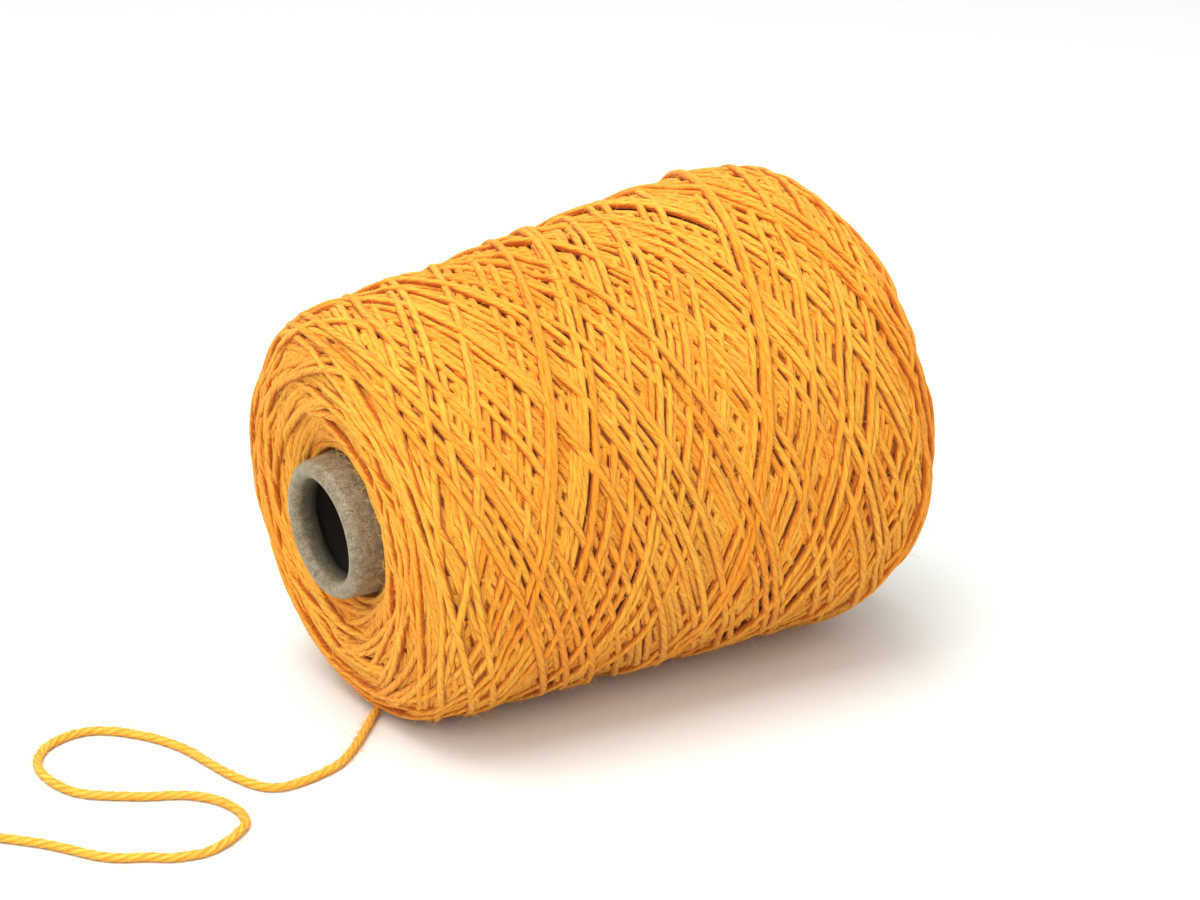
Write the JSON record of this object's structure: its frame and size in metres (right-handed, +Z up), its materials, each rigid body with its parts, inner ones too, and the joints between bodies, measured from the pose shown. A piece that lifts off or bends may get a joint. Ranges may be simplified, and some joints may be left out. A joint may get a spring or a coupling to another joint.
{
  "type": "cone of yarn",
  "caption": "Cone of yarn lying on its side: thick plied yarn cross-wound on a hollow card cone, with a rolled tube nose at the narrow end and a loose end trailing on the surface.",
  "frame": {"origin": "on the surface the cone lies on, under the middle of the wound yarn and its tube, the loose end left out", "axes": "+Z up, -X towards the narrow end with the tube's nose, +X towards the wide end; the tube's axis lies in the XZ plane and rises 4.75 degrees towards +X"},
  "size_m": [0.3022, 0.1276, 0.125],
  "materials": {
    "yarn": "matt, softly fuzzy plied yarn",
    "card": "smooth pressed card with fine specks"
  },
  "bodies": {
    "root": {"wound_yarn": "yarn", "cone_tube": "card", "loose_end": "yarn"}
  },
  "joints": []
}
